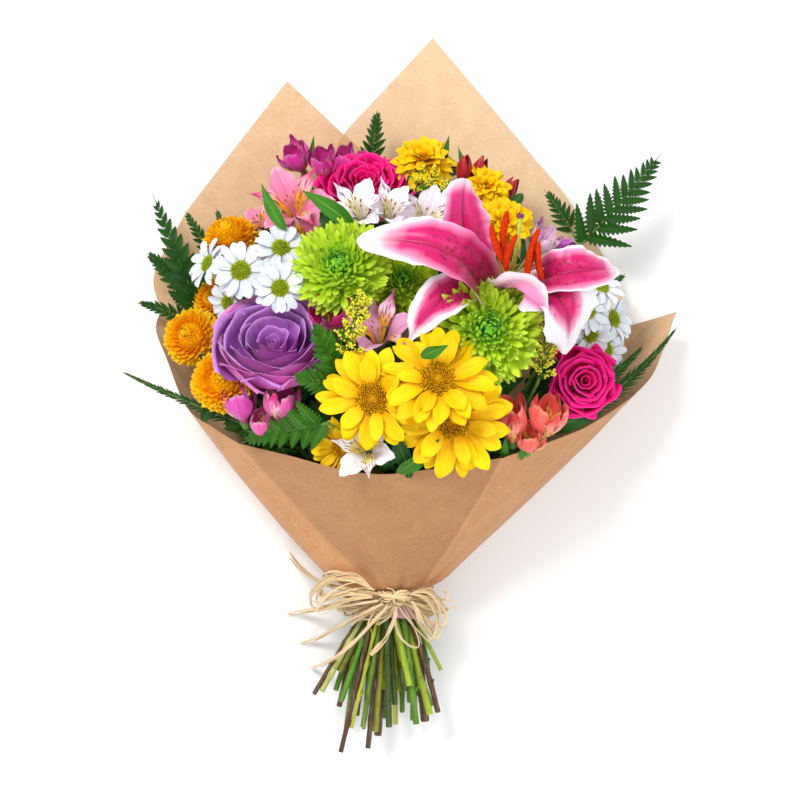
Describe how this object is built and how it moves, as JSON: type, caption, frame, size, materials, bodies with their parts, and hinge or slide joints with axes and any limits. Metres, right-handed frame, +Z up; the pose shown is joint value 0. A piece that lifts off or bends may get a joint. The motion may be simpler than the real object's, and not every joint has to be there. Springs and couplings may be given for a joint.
{
  "type": "mixed flower bouquet",
  "caption": "Hand-tied mixed bouquet of roses, lily, chrysanthemums, alstroemeria, goldenrod and fern in a kraft paper wrap tied with raffia, lying on its back.",
  "frame": {"origin": "middle of the footprint, on the surface that the bouquet lies on", "axes": "+Z up from that surface, +Y from the cut stem ends to the flower heads, +X to the right seen from above with the heads away from the viewer"},
  "size_m": [0.4002, 0.5226, 0.204],
  "materials": {
    "kraft_paper": "matte",
    "raffia": "satin",
    "mauve_tape": "satin",
    "fern_green": "satin",
    "solidago_yellow_green": "matte",
    "petal_lavender": "matte",
    "petal_magenta": "matte",
    "petal_lily": "satin",
    "petal_pink": "matte",
    "petal_purple": "matte",
    "petal_white": "matte",
    "petal_lilac": "matte",
    "petal_coral": "matte",
    "petal_red": "matte",
    "petal_green": "matte",
    "petal_yellow": "matte",
    "petal_orange": "matte"
  },
  "bodies": {
    "root": {"paper_front_wrap": "kraft_paper", "paper_back_left": "kraft_paper", "paper_back_right": "kraft_paper", "stem_tape": "mauve_tape", "raffia_wrap": "raffia", "raffia_tail_1": "raffia", "raffia_tail_2": "raffia", "raffia_tail_3": "raffia", "raffia_tail_4": "raffia", "raffia_tail_5": "raffia", "raffia_loop_left": "raffia", "raffia_loop_right": "raffia", "rose_lavender": "petal_lavender", "rose_magenta_top": "petal_magenta", "rose_magenta_right": "petal_magenta", "lily_stargazer": "petal_lily", "spider_mum_left": "petal_green", "spider_mum_right": "petal_green", "spider_mum_back": "petal_green", "daisy_yellow_left": "petal_yellow", "daisy_yellow_centre": "petal_yellow", "daisy_yellow_front": "petal_yellow", "daisy_yellow_low": "petal_yellow", "daisy_yellow_top": "petal_yellow", "daisy_yellow_back": "petal_yellow", "daisy_yellow_side": "petal_yellow", "button_mum_top": "petal_orange", "button_mum_left": "petal_orange", "button_mum_low": "petal_orange", "button_mum_back": "petal_orange", "white_daisy_left_a": "petal_white", "white_daisy_left_b": "petal_white", "white_daisy_right_a": "petal_white", "white_daisy_right_b": "petal_white", "alstroemeria_pink": "petal_pink", "alstroemeria_magenta_top": "petal_purple", "alstroemeria_white_left": "petal_white", "alstroemeria_white_right": "petal_white", "alstroemeria_lilac": "petal_lilac", "alstroemeria_magenta_mid": "petal_magenta", "alstroemeria_magenta_low": "petal_purple", "alstroemeria_pink_low": "petal_pink", "alstroemeria_white_low": "petal_white", "alstroemeria_coral": "petal_coral", "alstroemeria_purple_back": "petal_purple", "alstroemeria_red_buds": "petal_red", "solidago_centre": "solidago_yellow_green", "solidago_top": "solidago_yellow_green", "solidago_right": "solidago_yellow_green", "fern_left_upper": "fern_green", "fern_left_low": "fern_green", "fern_left_rim": "fern_green", "fern_left_back": "fern_green", "fern_top": "fern_green", "fern_right": "fern_green", "fern_right_mid": "fern_green", "fern_right_low": "fern_green", "fern_front_left": "fern_green", "fern_centre": "fern_green"}
  },
  "joints": []
}
